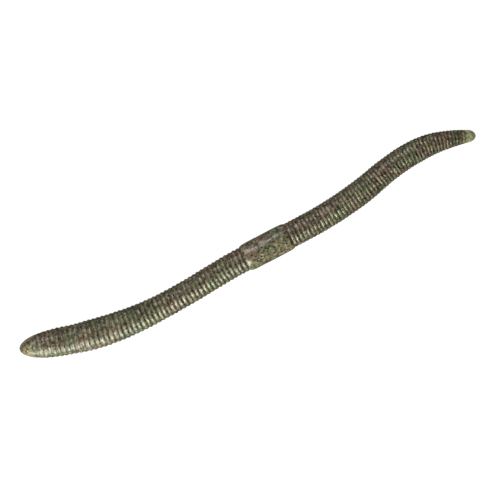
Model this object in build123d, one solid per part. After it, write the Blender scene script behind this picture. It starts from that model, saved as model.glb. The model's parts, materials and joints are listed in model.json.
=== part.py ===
from build123d import *
import math
import os

# A soft plastic worm: a fishing lure with a ringed body, a blunt nose, a smooth egg-sack band about
# half way along and a straight tapered tail.
#
# The real worm is one soft casting that flexes everywhere.  The casting is divided here at its ring
# grooves into short rigid segments, so that it can bend.  The band is the root.  A chain of segments
# runs from each end of the band, one to the nose and one to the tail.  Each segment has a socket at
# the end that faces the band and a neck at the other end.  The neck stands in a widened groove, which
# leaves the next segment the room that it swings through, and reaches into that segment's socket.
#
# Rings are counted in pitches, from groove to groove.  To keep the model light, the solids have the
# grooves at the joints and some of those between, each at its real place, width and depth.
#
# Millimetres and degrees.  +X runs from the nose towards the tail, +Z is up, and the worm lies on
# z = 0, slightly curved, as it rests on a table.  The origin is under the middle of its outline.

# ---- Band ----
band_length = 16.4
band_radius = 4.6
band_shoulder = 1.6  # length of the sloped edge at each end of the band
band_heading = -0.7  # direction of the band's axis, anticlockwise from +X

# ---- Rings ----
groove_depth = 0.2
groove_width = 0.7
front_ringed_length = 65.0  # from the joint at the band to the joint at the nose
front_segments = 7
front_rings = 6  # pitches in one front segment, the joint's own groove among them
front_land_rings = 3  # pitches from one modelled groove to the next
front_growth = 1.07  # the pitch at the nose over the pitch at the band
rear_ringed_length = 60.6
rear_segments = 7
rear_rings = 7
rear_land_rings = 3
rear_growth = 0.88

# ---- Nose and front half, distances measured back from the nose tip ----
nose_ring_length = 4.9  # ringed stretch of the nose's own segment
nose_groove_depth = 0.15
nose_cap_length = 7.05  # smooth cap ahead of the nose's groove
nose_curve_length = 17.0  # over which the nose rounds out
nose_bluntness = 2.5  # 2 is half an ellipse, more is a blunter nose
nose_radius = 4.8
head_radius = 5.02
head_length = 23.0  # where the head starts to narrow
neck_length = 31.0  # over which the head narrows to the front body
front_radius = 4.15

# ---- Tail and rear half, distances measured back from the tail tip ----
tail_ring_length = 2.15
tail_groove_depth = 0.15
tail_cap_length = 4.9  # smooth end behind the tail's groove
tail_dome_length = 2.0  # rounded part of that end
tip_radius = 1.65  # what the taper would come to without its rounding
tail_radius = 4.02
tail_taper_length = 24.0
tail_fullness = 1.7  # 1 is a straight taper, more is a fuller one
hind_length = 27.0  # where the tail starts to widen to the rear body
hind_blend_length = 18.0
rear_radius = 4.25
cap_cone_count = 4  # cones that round each end off

# ---- Joints ----
bend_range = 26.0  # each way, at each bending joint
swing_spare = 1.5  # extra angle that every joint has room for
socket_wall = 0.6  # wall of a socket at its rim
neck_clearance = 0.1  # between a neck and its socket at the end of the joint's travel
neck_reach = 1.2  # how far a neck goes past its pivot into the socket

# ---- Curve that the worm rests in: (length, turn to the left) from the band's middle outwards ----
front_bends = [(22.0, 4.2), (18.0, -4.1), (33.0, -17.1), (15.0, 0.2)]
rear_bends = [(8.0, -1.8), (26.0, 11.0), (9.0, 4.2), (13.0, -11.2), (10.0, -14.0), (11.0, -9.8)]


def eased(start, end, share):
    """A value that eases from start to end as share goes from 0 to 1."""
    share = min(max(share, 0.0), 1.0)
    return start + (end - start) * (1 - math.cos(math.pi * share)) / 2


def front_crest(from_nose):
    """Crest radius of the front half at a distance from the nose tip."""
    if from_nose < nose_curve_length:
        share = 1 - from_nose / nose_curve_length
        return nose_radius * math.sqrt(1 - share**nose_bluntness)
    if from_nose < head_length:
        share = (from_nose - nose_curve_length) / (head_length - nose_curve_length)
        return eased(nose_radius, head_radius, share)
    return eased(head_radius, front_radius, (from_nose - head_length) / neck_length)


def rear_crest(from_tip):
    """Crest radius of the rear half at a distance from the tail tip."""
    if from_tip >= tail_taper_length:
        return eased(tail_radius, rear_radius, (from_tip - hind_length) / hind_blend_length)
    share = 1 - from_tip / tail_taper_length
    radius = tail_radius - (tail_radius - tip_radius) * share**tail_fullness
    if from_tip < tail_dome_length:
        radius *= math.sqrt(1 - (1 - from_tip / tail_dome_length) ** 2)
    return radius


def turn_at(bends, distance):
    """Turn to the left between the band's middle and a distance along the resting curve."""
    turn = 0.0
    for length, angle in bends:
        share = min(max(distance / length, 0.0), 1.0)
        turn += angle * share
        distance -= length
    return turn


class Joint:
    """The neck, socket and gap about one pivot, sized for the body's radius and the swing there."""

    def __init__(self, rim, swing):
        angle = math.radians(swing + swing_spare)
        self.rim = rim
        self.gap = rim * math.sin(angle)
        self.socket = rim - socket_wall
        free = self.socket - neck_clearance
        self.neck = min(math.sqrt(free**2 - neck_reach**2), free * math.cos(angle))
        self.depth = neck_reach * math.cos(angle) + self.neck * math.sin(angle) + neck_clearance

    def socket_points(self):
        """Profile from the axis out to the socket's mouth, with the pivot at height 0."""
        return [(0, self.depth), (self.socket, self.depth), (self.socket, 0)]

    def neck_points(self, pivot):
        """Profile from the bottom of the gap along the neck to the axis, with the pivot at a height."""
        return [(self.neck, pivot - self.gap), (self.neck, pivot + neck_reach), (0, pivot + neck_reach)]


def land_points(stops, crest_at, depth):
    """Profile of plain lands between the stops, with a V groove at each stop but the first and last."""
    radii = [crest_at((low + high) / 2) for low, high in zip(stops, stops[1:])]
    points = [(radii[0], stops[0])]
    for before, after, groove in zip(radii, radii[1:], stops[1:]):
        bottom = min(before, after) - depth
        points += [
            (before, groove - groove_width / 2),
            (bottom, groove),
            (after, groove + groove_width / 2),
        ]
    return points + [(radii[-1], stops[-1])]


def cap_points(start, height, crest):
    """Profile of a rounded end from a distance short of its tip, which is at a height, to the tip."""
    distances = [start * (i / cap_cone_count) ** 2 for i in reversed(range(cap_cone_count + 1))]
    return [(crest(distance), height - distance) for distance in distances]


def turned(points):
    """A solid turned about Z from a profile that starts and ends on the axis."""
    with BuildPart() as solid:
        with BuildSketch(Plane.XZ):
            with BuildLine():
                Polyline(*points, close=True)
            make_face()
        revolve(axis=Axis.Z)
    return solid.part


class Half:
    """One half of the worm, laid out outwards from the band: pivots, directions and joints."""

    def __init__(self, heading, pitches, rings, land, end_length, end_height, crest, bends, twist):
        rows = [pitches[i : i + rings] for i in range(0, len(pitches), rings)]
        lengths = [sum(row) for row in rows] + [end_length]
        stops = [sum(lengths[:i]) for i in range(len(lengths) + 1)]
        self.grooves = [[sum(row[:i]) for i in range(land, rings, land)] for row in rows]
        self.lengths = lengths
        self.stops = stops
        self.crest = crest
        heights = [band_radius] + [self.crest_at(i)(0) for i in range(1, len(lengths))] + [end_height]
        outward = direction(heading, 0.0)
        first = band_length / 2 + heights[1] * math.sin(math.radians(bend_range + swing_spare))
        self.directions = [outward]
        for i, length in enumerate(lengths):
            turn = turn_at(bends, first + (stops[i] + stops[i + 1]) / 2)
            rise = (heights[i + 1] - heights[i]) / length
            self.directions.append(direction(heading + turn, rise))
        self.joints = []
        for i in range(len(lengths)):
            kink = self.directions[i].get_angle(self.directions[i + 1])
            swing = kink if i + 1 == twist else kink + bend_range
            self.joints.append(Joint(self.crest_at(i)(0), swing))
        self.pivots = [Vector(0, 0, band_radius) + outward * (band_length / 2 + self.joints[0].gap)]
        for toward, length in zip(self.directions[1:], lengths):
            self.pivots.append(self.pivots[-1] + toward * length)

    def crest_at(self, i):
        """Crest radius as a function of the distance along piece i from its own pivot."""
        return lambda along: self.crest(self.stops[-1] - self.stops[i] - along)

    def place(self, solid, i):
        """Puts a solid made along Z, with its socket's pivot at 0, where piece i is."""
        return Plane(origin=self.pivots[i], z_dir=self.directions[i + 1]).location * solid

    def segment(self, i):
        """A ringed segment between two joints."""
        length = self.lengths[i]
        joint = self.joints[i + 1]
        end = length - joint.gap
        grooves = [groove for groove in self.grooves[i] if groove + groove_width < end]
        points = self.joints[i].socket_points()
        points += land_points([0] + grooves + [end], self.crest_at(i), groove_depth)
        return self.place(turned(points + joint.neck_points(length)), i)

    def end(self, ring_length, depth, cap_length):
        """The last piece: a land, a groove and a smooth rounded cap."""
        i = len(self.grooves)
        length = self.lengths[i]
        points = self.joints[i].socket_points()
        points += land_points([0, ring_length, ring_length + groove_width], self.crest_at(i), depth)[:-2]
        points += cap_points(cap_length - groove_width / 2, length, self.crest)
        return self.place(turned(points), i)


def direction(heading, rise):
    """Unit vector at an angle anticlockwise from +X in plan, that rises by a share of its length."""
    level = math.sqrt(1 - rise**2)
    angle = math.radians(heading)
    return Vector(level * math.cos(angle), level * math.sin(angle), rise)


def graded(length, count, growth):
    """Ring pitches that fill a length, in even steps to a last one that is growth times the first."""
    steps = [1 + (growth - 1) * i / (count - 1) for i in range(count)]
    return [length * step / sum(steps) for step in steps]


def middle_joint(segments):
    """The joint halfway along a half, counted from the band: it twists in place of bending."""
    return (segments + 1) // 2


def front_half():
    length = nose_ring_length + nose_cap_length
    return Half(
        heading=band_heading + 180,
        pitches=graded(front_ringed_length, front_segments * front_rings, front_growth),
        rings=front_rings,
        land=front_land_rings,
        end_length=length,
        end_height=front_crest(length),
        crest=front_crest,
        bends=front_bends,
        twist=middle_joint(front_segments),
    )


def rear_half():
    return Half(
        heading=band_heading,
        pitches=graded(rear_ringed_length, rear_segments * rear_rings, rear_growth),
        rings=rear_rings,
        land=rear_land_rings,
        end_length=tail_ring_length + tail_cap_length,
        end_height=tip_radius,
        crest=rear_crest,
        bends=rear_bends,
        twist=middle_joint(rear_segments),
    )


def band(front, rear):
    """The smooth egg-sack band, with a neck at each end."""
    ends = []
    for joint in (front.joints[0], rear.joints[0]):
        edge = band_length / 2
        ends.append(
            [(band_radius, edge - band_shoulder), (joint.rim - groove_depth, edge)]
            + joint.neck_points(edge + joint.gap)
        )
    lower = [(radius, -height) for radius, height in reversed(ends[0])]
    solid = turned(lower + ends[1])
    return Plane(origin=(0, 0, band_radius), z_dir=direction(band_heading, 0.0)).location * solid


def worm(front, rear):
    """Every piece by name, from the nose to the tail, about the middle of the band."""
    pieces = {"nose": front.end(nose_ring_length, nose_groove_depth, nose_cap_length)}
    for i in reversed(range(front_segments)):
        pieces[f"front_segment_{i + 1}"] = front.segment(i)
    pieces["band"] = band(front, rear)
    for i in range(rear_segments):
        pieces[f"rear_segment_{i + 1}"] = rear.segment(i)
    pieces["tail_tip"] = rear.end(tail_ring_length, tail_groove_depth, tail_cap_length)
    return pieces


def resting_place(pieces):
    """The move that brings the origin to the surface under the middle of the worm's outline."""
    box = Compound(children=[piece.solid() for piece in pieces.values()]).bounding_box()
    return Location((-box.center().X, -box.center().Y, -box.min.Z))


if __name__ == "__main__":
    pieces = worm(front_half(), rear_half())
    place = resting_place(pieces)
    os.makedirs("parts", exist_ok=True)
    for name, piece in pieces.items():
        export_step(piece.moved(place), f"parts/{name}.step")
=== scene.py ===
import bmesh
import bpy
import json
import math
import random
from bisect import bisect_right
from mathutils import Matrix, Vector, noise
from mathutils.geometry import interpolate_bezier

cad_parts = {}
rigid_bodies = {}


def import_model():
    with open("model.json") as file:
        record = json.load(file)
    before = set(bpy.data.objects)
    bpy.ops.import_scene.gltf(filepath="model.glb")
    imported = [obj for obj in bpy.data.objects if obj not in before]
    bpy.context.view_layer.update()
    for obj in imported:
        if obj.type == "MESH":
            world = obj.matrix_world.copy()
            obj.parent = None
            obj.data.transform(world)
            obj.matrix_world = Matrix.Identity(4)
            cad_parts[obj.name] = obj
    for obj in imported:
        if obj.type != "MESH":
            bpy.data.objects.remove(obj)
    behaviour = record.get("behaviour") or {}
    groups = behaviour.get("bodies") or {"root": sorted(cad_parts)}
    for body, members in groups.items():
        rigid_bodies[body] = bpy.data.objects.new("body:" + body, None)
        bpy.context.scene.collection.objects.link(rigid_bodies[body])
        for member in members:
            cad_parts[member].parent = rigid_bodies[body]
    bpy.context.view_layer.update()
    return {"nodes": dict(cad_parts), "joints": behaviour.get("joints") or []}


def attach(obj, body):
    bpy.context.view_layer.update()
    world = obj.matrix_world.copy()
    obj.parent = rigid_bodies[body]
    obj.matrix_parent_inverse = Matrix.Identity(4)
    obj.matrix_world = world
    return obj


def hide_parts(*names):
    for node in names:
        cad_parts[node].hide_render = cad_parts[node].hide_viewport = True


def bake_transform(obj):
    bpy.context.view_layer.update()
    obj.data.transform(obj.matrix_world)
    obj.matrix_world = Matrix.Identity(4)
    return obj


# The looks of a soft plastic worm: one glossy, speckled casting with fine rings, a smooth egg-sack
# band, a smooth nose and a smooth tail tip.  The skin is spun as a straight ringed bar and then laid
# along the worm's resting curve.  It is cut at ring grooves, one length to each joint.  Distances
# along the worm run from the nose tip.

for leftover in list(bpy.data.objects):
    bpy.data.objects.remove(leftover)

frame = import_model()

mm = 0.001

# ---- Sizes of the casting ----
band_length = 16.4 * mm
band_radius = 4.6 * mm
band_crown = 0.06 * mm
shoulder_length = 2.2 * mm
nose_curve_length = 17.0 * mm
nose_bluntness = 2.5
nose_radius = 4.8 * mm
head_radius = 5.02 * mm
head_length = 23.0 * mm
neck_length = 31.0 * mm
front_radius = 4.15 * mm
rear_radius = 4.25 * mm
tail_radius = 4.02 * mm
hind_length = 27.0 * mm
hind_blend_length = 18.0 * mm
tail_taper_length = 24.0 * mm
tail_fullness = 1.7
tail_dome_length = 2.0 * mm
tip_radius = 1.65 * mm
# Length and fade of the painted glow of light through the thin tail tip
pale_tip_length = 5.4 * mm
pale_tip_fade = 2.5 * mm
lump_height = 0.035 * mm
lump_spacing = 5 * mm
floor_clearance = 0.07 * mm

# ---- Sizes of the rings ----
front_groove_depth = 0.25 * mm
rear_groove_depth = 0.16 * mm
smooth_nose = 6.0 * mm
faint_nose_rings = 6.5 * mm
first_ring_share = 0.3
nose_pitch = 1.59 * mm
front_band_pitch = 1.47 * mm
rear_band_pitch = 1.33 * mm
tail_pitch = 1.10 * mm
smooth_tail = 3.9 * mm
faint_tail_rings = 4.0 * mm
last_ring_share = 0.5
ring_wobble = 0.03 * mm
groove_wobble = 0.1

# One ring from groove to groove: share of the pitch, share of the groove's depth above its bottom
ring_shape = [
    (0.0, 0.0),
    (0.07, 0.02),
    (0.15, 0.20),
    (0.24, 0.52),
    (0.33, 0.82),
    (0.42, 0.97),
    (0.5, 1.0),
    (0.58, 0.97),
    (0.67, 0.82),
    (0.76, 0.52),
    (0.85, 0.20),
    (0.93, 0.02),
]

# ---- How finely the skin is made, and the reach of a bend, which is worked out but not used ----
sides = 72
curve_steps = 48
end_steps = 14
shoulder_steps = 8
barrel_steps = 24
tangent_reach = 0.4 * mm
beside_band = 0.1 * mm
merge_distance = 0.001 * mm
cut_tolerance = 0.0001 * mm
bend_margin = 0.4 * mm
longest_bend = 4.4 * mm

chance = random.Random(12)


def eased(start, end, share):
    """A value that goes gently from start to end as the share goes from 0 to 1."""
    share = min(max(share, 0.0), 1.0)
    return start + (end - start) * (1 - math.cos(math.pi * share)) / 2


# ---- The resting curve ----


class RestingCurve:
    """The worm's centre line, smooth through its joints from the nose tip to the tail tip."""

    def __init__(self, knots):
        tangents = []
        for i, knot in enumerate(knots):
            before = knots[max(i - 1, 0)]
            after = knots[min(i + 1, len(knots) - 1)]
            near, far = knot - before, after - knot
            if i in (0, len(knots) - 1):
                tangents.append((near + far).normalized())
            else:
                pull = near / near.length_squared + far / far.length_squared
                tangents.append(pull.normalized())
        self.points = [knots[0]]
        self.knot_distances = [0.0]
        self.distances = [0.0]
        for i in range(len(knots) - 1):
            reach = (knots[i + 1] - knots[i]).length / 3
            run = interpolate_bezier(
                knots[i],
                knots[i] + tangents[i] * reach,
                knots[i + 1] - tangents[i + 1] * reach,
                knots[i + 1],
                curve_steps,
            )
            for point in run[1:]:
                self.distances.append(self.distances[-1] + (point - self.points[-1]).length)
                self.points.append(point)
            self.knot_distances.append(self.distances[-1])
        self.length = self.distances[-1]

    def at(self, distance):
        """The point at a distance from the nose tip."""
        i = min(max(bisect_right(self.distances, distance) - 1, 0), len(self.points) - 2)
        share = (distance - self.distances[i]) / (self.distances[i + 1] - self.distances[i])
        return self.points[i].lerp(self.points[i + 1], share)

    def frame_at(self, distance):
        """The matrix that lays a straight bar's cross section across the curve."""
        along = (self.at(distance + tangent_reach) - self.at(distance - tangent_reach)).normalized()
        left = Vector((0, 0, 1)).cross(along).normalized()
        up = along.cross(left)
        turn = Matrix((along, left, up)).transposed().to_4x4()
        return Matrix.Translation(self.at(distance)) @ turn


def chain(first):
    """The joints from the band outwards, starting with a named one."""
    found = [joint for joint in frame["joints"] if joint["name"] == first]
    while True:
        onward = [joint for joint in frame["joints"] if joint["parent"] == found[-1]["child"]]
        if not onward:
            return found
        found.append(onward[0])


def tip_of(joint):
    """The point of an end piece furthest from the joint that carries it."""
    pivot = Vector(joint["pos_m"])
    corners = frame["nodes"][joint["child"]].data.vertices
    return max((corner.co.copy() for corner in corners), key=lambda point: (point - pivot).length)


front_chain = chain("front_sway_1")
rear_chain = chain("rear_sway_1")
front_pivots = [Vector(joint["pos_m"]) for joint in front_chain]
rear_pivots = [Vector(joint["pos_m"]) for joint in rear_chain]
band_middle = (rear_pivots[0] + front_pivots[0]) / 2
half_band = (rear_pivots[0] - front_pivots[0]).normalized() * band_length / 2
knots = [tip_of(front_chain[-1])] + front_pivots[::-1]
knots += [band_middle - half_band, band_middle + half_band]
knots += rear_pivots + [tip_of(rear_chain[-1])]
floor_gap = Vector((0, 0, front_pivots[0].z - band_radius - floor_clearance))
curve = RestingCurve([knot - floor_gap for knot in knots])
front_count = len(front_chain)
rear_count = len(rear_chain)
band_start = curve.knot_distances[front_count + 1]
band_end = curve.knot_distances[front_count + 2]


# ---- The casting's outline ----


def crest(distance):
    """Radius over the tops of the rings."""
    if distance <= band_start:
        if distance < nose_curve_length:
            share = min(1 - distance / nose_curve_length, 1.0)
            return nose_radius * math.sqrt(1 - share**nose_bluntness)
        if distance < head_length:
            share = (distance - nose_curve_length) / (head_length - nose_curve_length)
            return eased(nose_radius, head_radius, share)
        return eased(head_radius, front_radius, (distance - head_length) / neck_length)
    if distance >= band_end:
        left = curve.length - distance
        if left >= tail_taper_length:
            return eased(tail_radius, rear_radius, (left - hind_length) / hind_blend_length)
        fullness = (1 - max(left, 0) / tail_taper_length) ** tail_fullness
        radius = tail_radius - (tail_radius - tip_radius) * fullness
        if left < tail_dome_length:
            radius *= math.sqrt(max(1 - (1 - left / tail_dome_length) ** 2, 0))
        return radius
    middle = (band_start + band_end) / 2
    return band_radius - band_crown * ((distance - middle) / (band_length / 2)) ** 2


def depth(distance):
    """Depth of the grooves, which fade out at the nose and at the tail tip."""
    from_nose = distance - smooth_nose
    from_tail = curve.length - distance - smooth_tail
    at_nose = eased(first_ring_share, 1, from_nose / faint_nose_rings)
    at_tail = eased(last_ring_share, 1, from_tail / faint_tail_rings)
    full = front_groove_depth if distance < band_end else rear_groove_depth
    return full * at_nose * at_tail


def thinness(distance):
    """How far the tail tip's thin plastic lets the light through, which the colour paints in as a
    pale glow.
    """
    return eased(0, 1, (distance - curve.length + pale_tip_length) / pale_tip_fade)


def ring_stops(start, end, first_pitch, last_pitch):
    """Distances of the grooves from start to end, the pitch changing evenly."""
    count = round((end - start) * 2 / (first_pitch + last_pitch))
    steps = [first_pitch + (last_pitch - first_pitch) * i / (count - 1) for i in range(count)]
    fit = (end - start) / sum(steps)
    stops = [start]
    for step in steps:
        stops.append(stops[-1] + step * fit)
    return stops


def ring_line(stops):
    """Outline points (distance, radius, how deep in a groove) over a row of rings."""
    points = []
    for low, high in zip(stops, stops[1:]):
        lift = chance.uniform(-1, 1) * ring_wobble
        cut = chance.uniform(1 - groove_wobble, 1 + groove_wobble)
        for share, height in ring_shape:
            distance = low + (high - low) * share
            sunk = (1 - height) * depth(distance) * cut
            if share == 0.0:  # the bottom of the groove belongs to both of its rings
                sunk = depth(distance)
            points.append((distance, crest(distance) + lift * height - sunk, 1 - height))
    points.append((stops[-1], crest(stops[-1]) - depth(stops[-1]), 1.0))
    return points


def smooth_end(tip, start, inward):
    """Outline points over a smooth rounded end, from just inside its last groove to its tip."""
    points = []
    for i in reversed(range(end_steps)):
        share = i / end_steps
        distance = tip + inward * abs(start - tip) * share * share
        points.append((distance, crest(distance), 0.0))
    return points


def shoulder(edge, inward):
    """Outline points from the groove at an edge of the band up its rounded shoulder."""
    beside = edge - inward * beside_band
    bottom = crest(beside) - depth(beside)
    top = crest(edge + inward * shoulder_length)
    points = []
    for i in range(shoulder_steps + 1):
        share = i / shoulder_steps
        away = shoulder_length * share * share
        height = math.sqrt(1 - (1 - share * share) ** 2)
        points.append((edge + inward * away, bottom + (top - bottom) * height, 1 - height))
    return points


def band_line():
    """Outline points over the band, which has a rounded shoulder at each end."""
    barrel = []
    barrel_length = band_length - 2 * shoulder_length
    for i in range(1, barrel_steps):
        distance = band_start + shoulder_length + barrel_length * i / barrel_steps
        barrel.append((distance, crest(distance), 0.0))
    return shoulder(band_start, 1) + barrel + shoulder(band_end, -1)[::-1]


front_stops = ring_stops(smooth_nose, band_start, nose_pitch, front_band_pitch)
rear_stops = ring_stops(band_end, curve.length - smooth_tail, rear_band_pitch, tail_pitch)
front_line = smooth_end(0.0, smooth_nose, 1)[::-1] + ring_line(front_stops)
rear_line = ring_line(rear_stops) + smooth_end(curve.length, rear_stops[-1], -1)


# ---- Making the lengths of skin ----


def lay_along_curve(mesh):
    """Moves a straight bar's points onto the resting curve, with the slight lumps of a casting."""
    frames = {}
    for vert in mesh.verts:
        distance = vert.co.x
        key = round(distance, 8)
        if key not in frames:
            frames[key] = curve.frame_at(distance)
        across = Vector((0, vert.co.y, vert.co.z))
        lump = noise.noise(Vector((distance, across.y, across.z)) / lump_spacing)
        across += across * lump * lump_height / front_radius
        vert.co = frames[key] @ across


def closed_line(line):
    """An outline with a flat cut down to the axis at each end that doesn't reach it."""
    points = list(line)
    if points[0][1] > 0:
        points.insert(0, (points[0][0], 0.0, 1.0))
    if points[-1][1] > 0:
        points.append((points[-1][0], 0.0, 1.0))
    return points


def sharpen_cuts(mesh, ends):
    """Keeps a sharp rim round the flat cuts at the ends of a straight bar."""
    for edge in mesh.edges:
        at_cuts = [all(abs(vert.co.x - end) < cut_tolerance for vert in edge.verts) for end in ends]
        on_rim = all(math.hypot(vert.co.y, vert.co.z) > merge_distance for vert in edge.verts)
        if any(at_cuts) and on_rim:
            edge.smooth = False


def spun_skin(name, line):
    """A closed length of the casting, spun from its outline and laid along the resting curve."""
    mesh = bmesh.new()
    groove = mesh.verts.layers.float.new("groove")
    thin = mesh.verts.layers.float.new("thin")
    corners = []
    for distance, radius, sunk in closed_line(line):
        corner = mesh.verts.new((distance, 0, radius))
        corner[groove] = sunk
        corner[thin] = thinness(distance)
        corners.append(corner)
    edges = [mesh.edges.new(pair) for pair in zip(corners, corners[1:])]
    bmesh.ops.spin(
        mesh,
        geom=corners + edges,
        cent=(0, 0, 0),
        axis=(1, 0, 0),
        angle=2 * math.pi,
        steps=sides,
        use_merge=True,
    )
    bmesh.ops.remove_doubles(mesh, verts=mesh.verts, dist=merge_distance)
    bmesh.ops.recalc_face_normals(mesh, faces=mesh.faces)
    for face in mesh.faces:
        face.smooth = True
    sharpen_cuts(mesh, (line[0][0], line[-1][0]))
    lay_along_curve(mesh)
    data = bpy.data.meshes.new(name)
    mesh.to_mesh(data)
    mesh.free()
    piece = bpy.data.objects.new(name, data)
    bpy.context.scene.collection.objects.link(piece)
    return piece


def seams(pivots, stops):
    """Grooves nearest to half way between neighbouring joints, where the skin is divided."""
    middles = [(a + b) / 2 for a, b in zip(pivots, pivots[1:])]
    return [min(stops, key=lambda stop: abs(stop - middle)) for middle in middles]


def cut_line(line, low, high):
    """The part of an outline between two cuts."""
    return [point for point in line if low - cut_tolerance <= point[0] <= high + cut_tolerance]


def bend_skin(piece, joint, pivot, inner, outer):
    """Sets a length of skin in place and hides the joint's own part; the reach of a bend about the
    joint is worked out but not used.
    """
    outward = 1 if outer > inner else -1
    reach_in = min(abs(pivot - inner) - bend_margin, longest_bend)
    reach_out = min(abs(pivot - outer) - bend_margin, longest_bend)
    start = curve.at(pivot - outward * reach_in)
    end = curve.at(pivot + outward * reach_out)
    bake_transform(piece)
    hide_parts(joint["child"])


def make_lengths(names, joints, pivots, cuts, line):
    """One length of skin to each joint, each between two cuts, from the band outwards."""
    pieces = []
    for name, joint, pivot, inner, outer in zip(names, joints, pivots, cuts, cuts[1:]):
        piece = spun_skin(name, cut_line(line, min(inner, outer), max(inner, outer)))
        bend_skin(piece, joint, pivot, inner, outer)
        pieces.append(piece)
    return pieces


def make_front():
    """The front skin, from the band to the nose."""
    pivots = curve.knot_distances[1 : front_count + 1][::-1]
    cuts = [band_start] + seams(pivots, front_stops) + [0.0]
    names = [f"front_skin_{i}" for i in range(1, front_count)] + ["nose_skin"]
    return make_lengths(names, front_chain, pivots, cuts, front_line)


def make_rear():
    """The rear skin, from the band to the tail tip."""
    pivots = curve.knot_distances[front_count + 3 : -1]
    cuts = [band_end] + seams(pivots, rear_stops) + [curve.length]
    names = [f"rear_skin_{i}" for i in range(1, rear_count)] + ["tail_skin"]
    return make_lengths(names, rear_chain, pivots, cuts, rear_line)


def make_band():
    """The smooth egg-sack band."""
    piece = spun_skin("egg_sack_band", band_line())
    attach(piece, "band")
    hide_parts("band")
    return piece


# ---- Steps that the plastic, the floor and the light share ----

# Ranges are (value at the low end, value at the high end)
whole_range = (0.0, 1.0)


def noise_texture(tree, place, scale, detail):
    """Noise on an object's own coordinates."""
    texture = tree.nodes.new("ShaderNodeTexNoise")
    texture.inputs["Scale"].default_value = scale
    texture.inputs["Detail"].default_value = detail
    tree.links.new(place.outputs["Object"], texture.inputs["Vector"])
    return texture


def attribute(tree, name):
    """A value that the skin's own points carry."""
    reader = tree.nodes.new("ShaderNodeAttribute")
    reader.attribute_name = name
    return reader.outputs["Fac"]


def spread(tree, value, given, wanted):
    """A value carried from its given range over the wanted one, and held at the ends."""
    ranging = tree.nodes.new("ShaderNodeMapRange")
    ranging.inputs["From Min"].default_value = given[0]
    ranging.inputs["From Max"].default_value = given[1]
    ranging.inputs["To Min"].default_value = wanted[0]
    ranging.inputs["To Max"].default_value = wanted[1]
    tree.links.new(value, ranging.inputs["Value"])
    return ranging.outputs["Result"]


def reckoned(tree, operation, value, other):
    """A value worked out from another value and a plain number, or from two values."""
    step = tree.nodes.new("ShaderNodeMath")
    step.operation = operation
    tree.links.new(value, step.inputs[0])
    if isinstance(other, float):
        step.inputs[1].default_value = other
    else:
        tree.links.new(other, step.inputs[1])
    return step.outputs["Value"]


def covered(tree, under, colour, share):
    """A colour laid over what is under it, as far as the share says."""
    cover = tree.nodes.new("ShaderNodeMix")
    cover.data_type = "RGBA"
    cover.inputs["B"].default_value = colour
    tree.links.new(share, cover.inputs["Factor"])
    tree.links.new(under, cover.inputs["A"])
    return cover.outputs["Result"]


# ---- The plastic ----

brown = (0.094, 0.061, 0.036, 1)
olive = (0.078, 0.067, 0.032, 1)
green = (0.062, 0.073, 0.029, 1)
# Painted glow of light through the thin tail tip
painted_tip_glow = (0.35, 0.36, 0.20, 1)
pepper = (0.006, 0.005, 0.004, 1)
# Pale flecks, partly pale flake and partly painted glints
cream_and_glint = (0.22, 0.20, 0.125, 1)
# Painted shade for the bottoms of the grooves
painted_groove_shade = (0.026, 0.021, 0.012, 1)

# Scales are patches to a metre
cloud_scale = 190
cloud_seed = 1.7
mottle_scale = 850
mottle_range = (0.35, 0.65)
mottle_strength = (0.1, 2.3)
fleck_scale = 1200
fleck_rim = (0.35, 0.55)
# Shares of the tail tip's painted glow, under and over the flecks
pale_under_flecks = 0.55
pale_over_flecks = 0.42
# Painted shade: the colour darkens towards the bottoms of the grooves and at the feet of the band's
# shoulders
groove_range = (0.2, 1.0)
groove_shade = (0.0, 0.7)
grain_scale = 1500
grain_height = 0.09 * mm
skin_roughness = (0.48, 0.62)

# Flecks: the channel that picks their cells, the share of cells left plain, and their colour
fleck_kinds = [
    ("Red", 0.55, pepper),
    # The pale kind is partly pale flake and partly painted glints
    ("Green", 0.76, cream_and_glint),
]


def cloudy_colour(tree, clouds):
    """Green and brown in soft patches."""
    tint = tree.nodes.new("ShaderNodeValToRGB")
    ramp = tint.color_ramp.elements
    ramp[0].position = 0.38
    ramp[0].color = brown
    ramp[1].position = 0.62
    ramp[1].color = green
    ramp.new(0.5).color = olive
    tree.links.new(clouds.outputs["Fac"], tint.inputs["Fac"])
    return tint.outputs["Color"]


def add_flecks(tree, place, layers):
    """Small dark flecks and pale ones over the colour; the pale ones are partly pale flake and
    partly painted glints.
    """
    flecks = tree.nodes.new("ShaderNodeTexVoronoi")
    flecks.inputs["Scale"].default_value = fleck_scale
    tree.links.new(place.outputs["Object"], flecks.inputs["Vector"])
    near = spread(tree, flecks.outputs["Distance"], fleck_rim, whole_range[::-1])
    chosen = tree.nodes.new("ShaderNodeSeparateColor")
    tree.links.new(flecks.outputs["Color"], chosen.inputs["Color"])
    for channel, plain_share, colour in fleck_kinds:
        some = reckoned(tree, "GREATER_THAN", chosen.outputs[channel], plain_share)
        layers = covered(tree, layers, colour, reckoned(tree, "MULTIPLY", near, some))
    return layers


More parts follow.
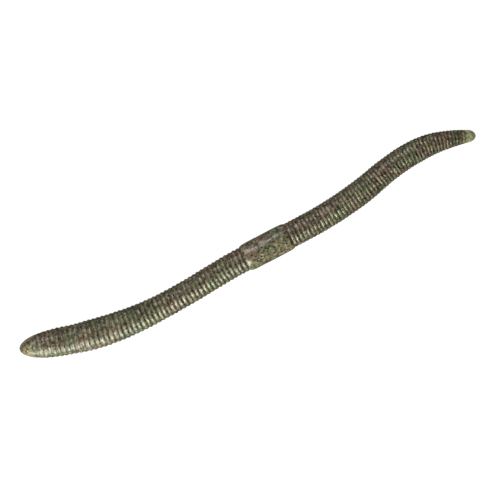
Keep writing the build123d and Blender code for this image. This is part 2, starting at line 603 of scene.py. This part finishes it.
def speckled_plastic():
    """Green-brown plastic with dark pepper flecks and a few pale ones, partly painted glints, with
    painted shade in its grooves and a painted glow at the thin tail tip, glossy over a fine grain.
    """
    material = bpy.data.materials.new("green_pumpkin_plastic")
    material.use_nodes = True
    tree = material.node_tree
    shader = tree.nodes["Principled BSDF"]
    place = tree.nodes.new("ShaderNodeTexCoord")
    thin = attribute(tree, "thin")

    clouds = noise_texture(tree, place, cloud_scale, 3)
    clouds.noise_dimensions = "4D"
    clouds.inputs["W"].default_value = cloud_seed
    layers = cloudy_colour(tree, clouds)
    # Painted glow: the thin tail tip is paler, as if lit through, under the flecks
    let_through = reckoned(tree, "MULTIPLY", thin, pale_under_flecks)
    layers = covered(tree, layers, painted_tip_glow, let_through)

    mottle = noise_texture(tree, place, mottle_scale, 4)
    mottle.inputs["Roughness"].default_value = 0.65
    mottled = tree.nodes.new("ShaderNodeVectorMath")
    mottled.operation = "SCALE"
    tree.links.new(layers, mottled.inputs["Vector"])
    strength = spread(tree, mottle.outputs["Fac"], mottle_range, mottle_strength)
    tree.links.new(strength, mottled.inputs["Scale"])

    layers = add_flecks(tree, place, mottled.outputs["Vector"])
    # The tail tip's painted glow again, over the flecks
    let_through = reckoned(tree, "MULTIPLY", thin, pale_over_flecks)
    layers = covered(tree, layers, painted_tip_glow, let_through)
    # Painted shade, darker the deeper a point lies in a groove
    shade = spread(tree, attribute(tree, "groove"), groove_range, groove_shade)
    layers = covered(tree, layers, painted_groove_shade, shade)
    tree.links.new(layers, shader.inputs["Base Color"])

    grain = noise_texture(tree, place, grain_scale, 3)
    bump = tree.nodes.new("ShaderNodeBump")
    bump.inputs["Strength"].default_value = 0.9
    bump.inputs["Distance"].default_value = grain_height
    tree.links.new(grain.outputs["Fac"], bump.inputs["Height"])
    tree.links.new(bump.outputs["Normal"], shader.inputs["Normal"])

    rough = spread(tree, clouds.outputs["Fac"], whole_range, skin_roughness)
    tree.links.new(rough, shader.inputs["Roughness"])
    gloss = spread(tree, mottle.outputs["Fac"], mottle_range, whole_range)
    tree.links.new(gloss, shader.inputs["Coat Weight"])
    shader.inputs["Coat Roughness"].default_value = 0.25
    shader.inputs["Specular IOR Level"].default_value = 0.43
    shader.inputs["IOR"].default_value = 1.5
    shader.inputs["Subsurface Weight"].default_value = 0.15
    shader.inputs["Subsurface Radius"].default_value = (1.0, 0.8, 0.4)
    shader.inputs["Subsurface Scale"].default_value = 0.8 * mm
    return material


# ---- The floor, the light and the camera ----

# The floor's shade as the worm is lit by it, and its shade and glow as it is seen
floor_half_width = 3.0
floor_shade = (0.14, 0.14, 0.14, 1)
floor_shade_seen = (0.15, 0.15, 0.15, 1)
floor_glow_seen = 0.93

# The sky's strength from the horizon to overhead, and its share from matt skin to gloss
sky_colour = (1.0, 0.95, 0.89, 1)
sky_strength = (0.06, 0.68)
sky_in_gloss = (1.0, 0.1)

view_turn = math.radians(-28.16)
view_width = 161.75 * mm
view_level = 4.1 * mm
image_right = Vector((math.cos(view_turn), math.sin(view_turn), 0))
image_up = Vector((-math.sin(view_turn), math.cos(view_turn), 0))
view_middle = image_right * -0.15 * mm + image_up * -1.16 * mm


def pale_floor():
    """A plain pale floor that the worm lies on."""
    mesh = bmesh.new()
    bmesh.ops.create_grid(mesh, x_segments=1, y_segments=1, size=floor_half_width)
    data = bpy.data.meshes.new("floor")
    mesh.to_mesh(data)
    mesh.free()
    floor = bpy.data.objects.new("floor", data)
    bpy.context.scene.collection.objects.link(floor)
    material = bpy.data.materials.new("pale_floor")
    material.use_nodes = True
    tree = material.node_tree
    shader = tree.nodes["Principled BSDF"]
    shader.inputs["Roughness"].default_value = 0.9
    shader.inputs["Specular IOR Level"].default_value = 0.1
    shader.inputs["Emission Color"].default_value = (1, 1, 1, 1)
    ray = tree.nodes.new("ShaderNodeLightPath")
    paper = tree.nodes.new("ShaderNodeMix")
    paper.data_type = "RGBA"
    paper.inputs["A"].default_value = floor_shade
    paper.inputs["B"].default_value = floor_shade_seen
    tree.links.new(ray.outputs["Is Camera Ray"], paper.inputs["Factor"])
    tree.links.new(paper.outputs["Result"], shader.inputs["Base Color"])
    glow = reckoned(tree, "MULTIPLY", ray.outputs["Is Camera Ray"], floor_glow_seen)
    tree.links.new(glow, shader.inputs["Emission Strength"])
    data.materials.append(material)


def softbox(name, right, up, height, size, power, colour):
    """A soft lamp, placed by how far it stands to the right, up the view and above the floor."""
    data = bpy.data.lights.new(name, "AREA")
    data.shape = "RECTANGLE"
    data.size = size[0]
    data.size_y = size[1]
    data.energy = power
    data.color = colour
    lamp = bpy.data.objects.new(name, data)
    lamp.location = image_right * right + image_up * up + Vector((0, 0, height))
    lamp.rotation_mode = "QUATERNION"
    lamp.rotation_quaternion = (-lamp.location).to_track_quat("-Z", "Y")
    bpy.context.scene.collection.objects.link(lamp)


def soft_sky():
    """A dim warm sky, brightest overhead and hardly seen in the gloss."""
    world = bpy.data.worlds.new("studio")
    bpy.context.scene.world = world
    world.use_nodes = True
    tree = world.node_tree
    sky = tree.nodes["Background"]
    sky.inputs["Color"].default_value = sky_colour
    place = tree.nodes.new("ShaderNodeTexCoord")
    parts = tree.nodes.new("ShaderNodeSeparateXYZ")
    tree.links.new(place.outputs["Generated"], parts.inputs["Vector"])
    ray = tree.nodes.new("ShaderNodeLightPath")
    overhead = spread(tree, parts.outputs["Z"], whole_range, sky_strength)
    dimmed = spread(tree, ray.outputs["Is Glossy Ray"], whole_range, sky_in_gloss)
    tree.links.new(reckoned(tree, "MULTIPLY", overhead, dimmed), sky.inputs["Strength"])


def light_the_table():
    """Plain soft studio light: a low key and a faint bounce in front, and a high fill behind."""
    soft_sky()
    softbox(
        "key",
        right=-0.065,
        up=-0.28,
        height=0.13,
        size=(0.20, 0.26),
        power=1.97,
        colour=(0.96, 1.0, 0.88),
    )
    softbox(
        "bounce",
        right=-0.06,
        up=-0.17,
        height=0.02,
        size=(0.30, 0.05),
        power=0.12,
        colour=(0.96, 1.0, 0.9),
    )
    softbox(
        "fill",
        right=-0.26,
        up=0.30,
        height=0.36,
        size=(0.22, 0.22),
        power=1.8,
        colour=(1.0, 0.97, 0.98),
    )


def camera_above():
    """A long lens straight above the worm, turned so that the worm lies on a slant."""
    data = bpy.data.cameras.new("camera")
    data.sensor_width = 36
    data.lens = 150
    data.clip_start = 0.01
    data.clip_end = 20
    camera = bpy.data.objects.new("camera", data)
    height = view_width * data.lens / data.sensor_width + view_level
    camera.location = view_middle + Vector((0, 0, height))
    camera.rotation_euler = (0, 0, view_turn)
    bpy.context.scene.collection.objects.link(camera)
    bpy.context.scene.camera = camera


bpy.context.scene.view_settings.view_transform = "Standard"
skin = make_front() + [make_band()] + make_rear()
plastic = speckled_plastic()
for piece in skin:
    piece.data.materials.append(plastic)
pale_floor()
light_the_table()
camera_above()
